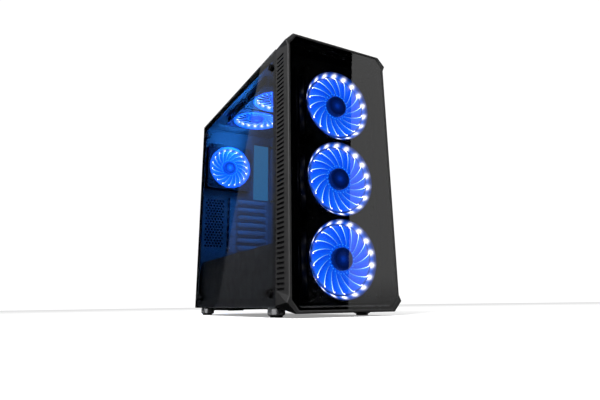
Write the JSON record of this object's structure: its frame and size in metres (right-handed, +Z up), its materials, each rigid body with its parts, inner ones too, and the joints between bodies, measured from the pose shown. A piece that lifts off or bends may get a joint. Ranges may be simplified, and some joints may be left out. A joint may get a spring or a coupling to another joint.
{
  "type": "desktop computer tower",
  "caption": "Black mid-tower computer case with a glass side, a glazed front bezel with cut corners, blue lit fans, a shrouded floor chamber and bright round feet.",
  "frame": {"origin": "on the floor, under the middle of the whole object", "axes": "+Z up, the front faces -Y, the glass side faces -X"},
  "size_m": [0.224, 0.506, 0.495],
  "materials": {
    "black_steel": "fine textured black powder coat",
    "bezel_plastic": "moulded black plastic with a fine grain",
    "side_glass": "smoked tempered glass, polished",
    "front_glass": "dark tinted glass, polished",
    "fan_plastic": "black moulded plastic",
    "light_ring": "clear blue-lit diffuser",
    "lit_blades": "translucent plastic lit blue from the rim",
    "rubber": "soft matt rubber",
    "brass": "turned brass",
    "tray_plastic": "moulded plastic",
    "zinc_screws": "dark zinc plating",
    "black_screws": "black anodised, knurled",
    "filter_mesh": "fine nylon mesh in a thin frame",
    "circuit_board": "solder mask",
    "port_metal": "bright plated shells",
    "chrome": "polished chrome"
  },
  "bodies": {
    "chassis": {"base_pan": "black_steel", "front_wall": "black_steel", "fan_bracket": "black_steel", "rear_wall": "black_steel", "roof_panel": "black_steel", "window_frame": "black_steel", "right_frame": "black_steel", "motherboard_tray": "black_steel", "tray_grommets": "rubber", "standoffs": "brass", "psu_shroud": "black_steel", "drive_cage": "black_steel", "drive_tray_upper": "tray_plastic", "drive_tray_lower": "tray_plastic", "ssd_bracket_upper": "black_steel", "ssd_bracket_lower": "black_steel", "slot_cover_1": "black_steel", "slot_cover_2": "black_steel", "slot_cover_3": "black_steel", "slot_cover_4": "black_steel", "slot_cover_5": "black_steel", "slot_cover_6": "black_steel", "slot_cover_7": "black_steel", "slot_screws": "zinc_screws", "front_fan_top_frame": "fan_plastic", "front_fan_top_ring": "light_ring", "front_fan_middle_frame": "fan_plastic", "front_fan_middle_ring": "light_ring", "front_fan_bottom_frame": "fan_plastic", "front_fan_bottom_ring": "light_ring", "rear_fan_frame": "fan_plastic", "roof_fan_rear_frame": "fan_plastic", "roof_fan_front_frame": "fan_plastic", "fan_screws": "zinc_screws", "feet": "chrome", "foot_pads": "rubber"},
    "side_glass": {"side_glass": "side_glass", "glass_bushings": "rubber"},
    "right_panel": {"right_panel": "black_steel"},
    "panel_screw_top": {"panel_screw_top": "black_screws"},
    "panel_screw_bottom": {"panel_screw_bottom": "black_screws"},
    "bezel": {"front_bezel": "bezel_plastic", "front_glass": "front_glass", "bezel_filters": "filter_mesh", "io_board": "circuit_board", "front_ports": "port_metal"},
    "power_button": {"power_button": "bezel_plastic"},
    "reset_button": {"reset_button": "bezel_plastic"},
    "roof_filter": {"roof_filter": "filter_mesh"},
    "psu_filter": {"psu_filter": "filter_mesh"},
    "thumbscrew_front_top": {"thumbscrew_front_top": "black_screws"},
    "thumbscrew_front_bottom": {"thumbscrew_front_bottom": "black_screws"},
    "thumbscrew_rear_top": {"thumbscrew_rear_top": "black_screws"},
    "thumbscrew_rear_bottom": {"thumbscrew_rear_bottom": "black_screws"},
    "front_fan_top_rotor": {"front_fan_top_rotor": "lit_blades"},
    "front_fan_middle_rotor": {"front_fan_middle_rotor": "lit_blades"},
    "front_fan_bottom_rotor": {"front_fan_bottom_rotor": "lit_blades"},
    "rear_fan_rotor": {"rear_fan_rotor": "lit_blades"},
    "roof_fan_rear_rotor": {"roof_fan_rear_rotor": "lit_blades"},
    "roof_fan_front_rotor": {"roof_fan_front_rotor": "lit_blades"}
  },
  "joints": [
    {"name": "front_fan_top_spin", "type": "hinge", "parent": "chassis", "child": "front_fan_top_rotor", "pos_m": [0, -0.244, 0.373], "axis": [0, -1, 0], "continuous": true},
    {"name": "front_fan_middle_spin", "type": "hinge", "parent": "chassis", "child": "front_fan_middle_rotor", "pos_m": [0, -0.244, 0.233], "axis": [0, -1, 0], "continuous": true},
    {"name": "front_fan_bottom_spin", "type": "hinge", "parent": "chassis", "child": "front_fan_bottom_rotor", "pos_m": [0, -0.244, 0.093], "axis": [0, -1, 0], "continuous": true},
    {"name": "rear_fan_spin", "type": "hinge", "parent": "chassis", "child": "rear_fan_rotor", "pos_m": [-0.036, 0.221, 0.374], "axis": [0, -1, 0], "continuous": true},
    {"name": "roof_fan_rear_spin", "type": "hinge", "parent": "chassis", "child": "roof_fan_rear_rotor", "pos_m": [-0.02, 0.084, 0.459], "axis": [0, 0, -1], "continuous": true},
    {"name": "roof_fan_front_spin", "type": "hinge", "parent": "chassis", "child": "roof_fan_front_rotor", "pos_m": [-0.02, -0.041, 0.459], "axis": [0, 0, -1], "continuous": true},
    {"name": "glass_lift_off", "type": "slide", "parent": "chassis", "child": "side_glass", "axis": [-1, 0, 0], "range_m": [0, 0.06]},
    {"name": "thumbscrew_front_top_turn", "type": "hinge", "parent": "side_glass", "child": "thumbscrew_front_top", "pos_m": [-0.11, -0.185, 0.454], "axis": [-1, 0, 0], "continuous": true},
    {"name": "thumbscrew_front_bottom_turn", "type": "hinge", "parent": "side_glass", "child": "thumbscrew_front_bottom", "pos_m": [-0.11, -0.185, 0.038], "axis": [-1, 0, 0], "continuous": true},
    {"name": "thumbscrew_rear_top_turn", "type": "hinge", "parent": "side_glass", "child": "thumbscrew_rear_top", "pos_m": [-0.11, 0.227, 0.454], "axis": [-1, 0, 0], "continuous": true},
    {"name": "thumbscrew_rear_bottom_turn", "type": "hinge", "parent": "side_glass", "child": "thumbscrew_rear_bottom", "pos_m": [-0.11, 0.227, 0.038], "axis": [-1, 0, 0], "continuous": true},
    {"name": "right_panel_slide", "type": "slide", "parent": "chassis", "child": "right_panel", "axis": [0, 1, 0], "range_m": [0, 0.02]},
    {"name": "panel_screw_top_turn", "type": "hinge", "parent": "right_panel", "child": "panel_screw_top", "pos_m": [0.1, 0.25, 0.425], "axis": [0, 1, 0], "continuous": true},
    {"name": "panel_screw_bottom_turn", "type": "hinge", "parent": "right_panel", "child": "panel_screw_bottom", "pos_m": [0.1, 0.25, 0.076], "axis": [0, 1, 0], "continuous": true},
    {"name": "bezel_pull_off", "type": "slide", "parent": "chassis", "child": "bezel", "axis": [0, -1, 0], "range_m": [0, 0.08]},
    {"name": "power_button_press", "type": "slide", "parent": "bezel", "child": "power_button", "axis": [0, 0, -1], "range_m": [0, 0.0015], "stiffness_N_per_m": 300, "springref_m": -0.001},
    {"name": "reset_button_press", "type": "slide", "parent": "bezel", "child": "reset_button", "axis": [0, 0, -1], "range_m": [0, 0.0015], "stiffness_N_per_m": 300, "springref_m": -0.001},
    {"name": "roof_filter_lift", "type": "slide", "parent": "chassis", "child": "roof_filter", "axis": [0, 0, 1], "range_m": [0, 0.06]},
    {"name": "psu_filter_slide", "type": "slide", "parent": "chassis", "child": "psu_filter", "axis": [0, 1, 0], "range_m": [0, 0.165]}
  ]
}
